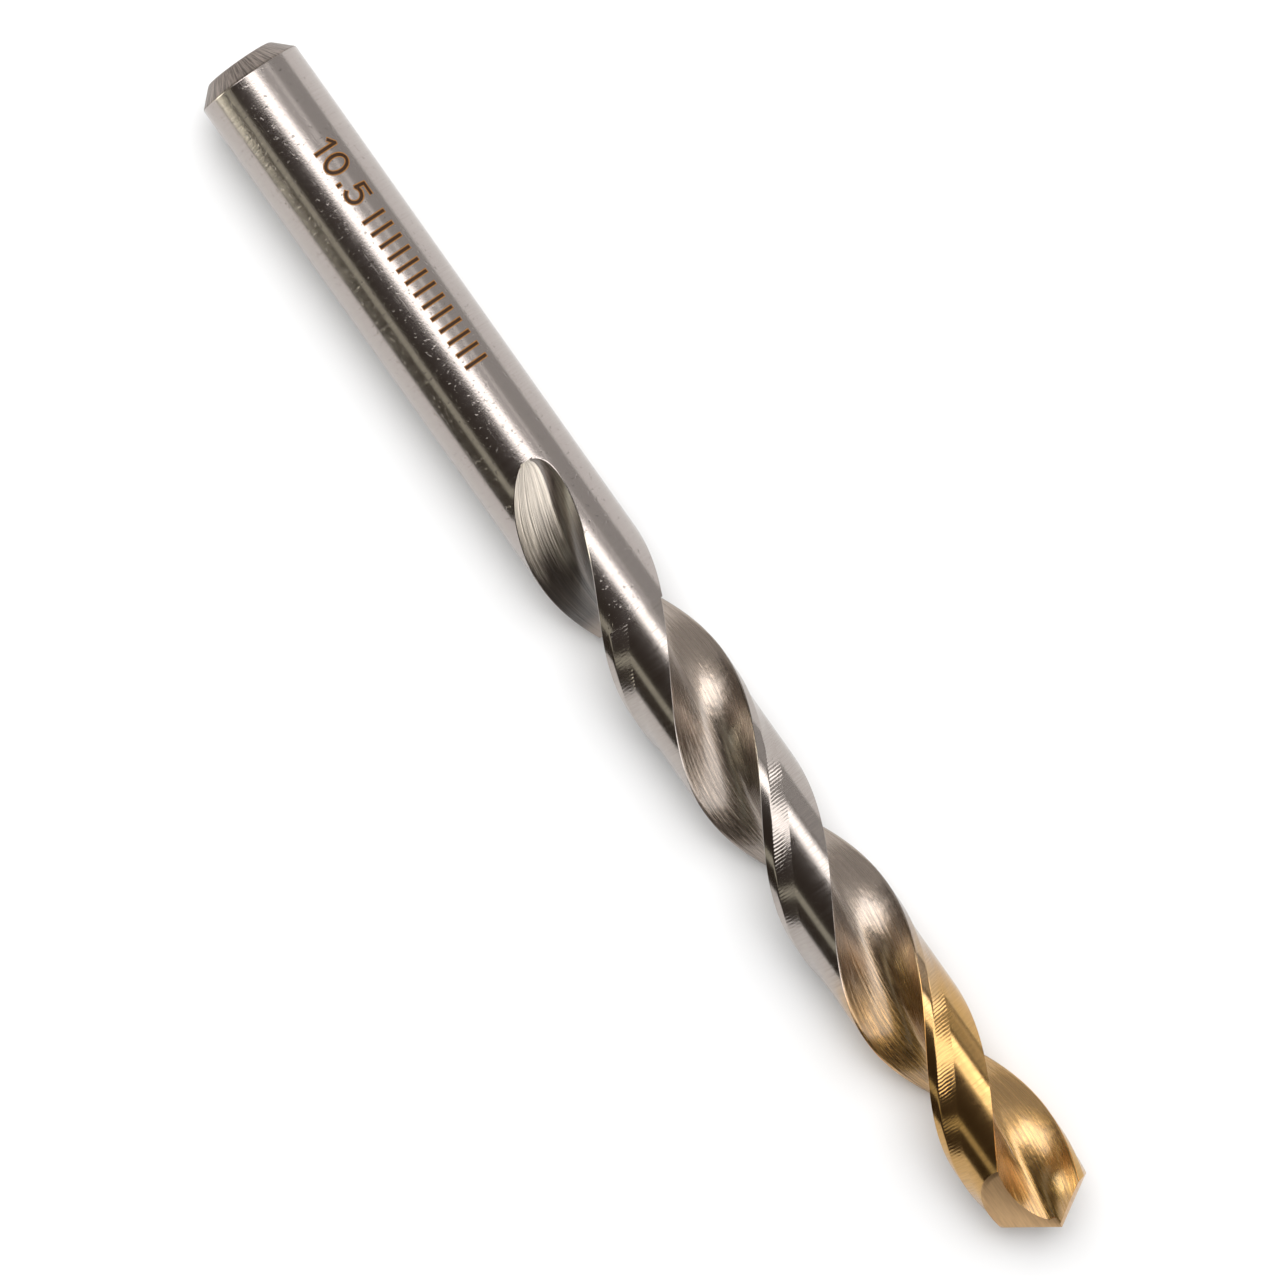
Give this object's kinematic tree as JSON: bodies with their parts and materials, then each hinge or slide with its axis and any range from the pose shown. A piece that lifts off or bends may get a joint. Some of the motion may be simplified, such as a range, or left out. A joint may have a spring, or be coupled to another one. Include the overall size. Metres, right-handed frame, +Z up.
{
  "type": "twist drill",
  "caption": "Two-flute helical twist drill with a plain round shank, ground point and gold-coated cutting end.",
  "frame": {"origin": "centre of the flat end face of the shank, on the drill's axis", "axes": "+X along the axis towards the point; the lips' outer corners lie 45 degrees above and below the XY plane; +Z is up when the drill lies on a bench"},
  "size_m": [0.133, 0.0104, 0.0104],
  "materials": {
    "ground_shank": "cylindrically ground high-speed steel, fine marks round the axis",
    "ground_runout": "coarse grinding lines along the flutes where the wheel leaves the bar",
    "ground_flutes": "bright ground flutes and relieved lands",
    "gold_coating": "thin gold titanium nitride film over ground high-speed steel, fading into bare steel at its upper end",
    "gold_point": "the same film over the ground flanks of the point"
  },
  "bodies": {
    "root": {"shank": "ground_shank", "flute_runout": "ground_runout", "fluted_body": "ground_flutes", "coated_tip": "gold_coating", "point": "gold_point"}
  },
  "joints": []
}
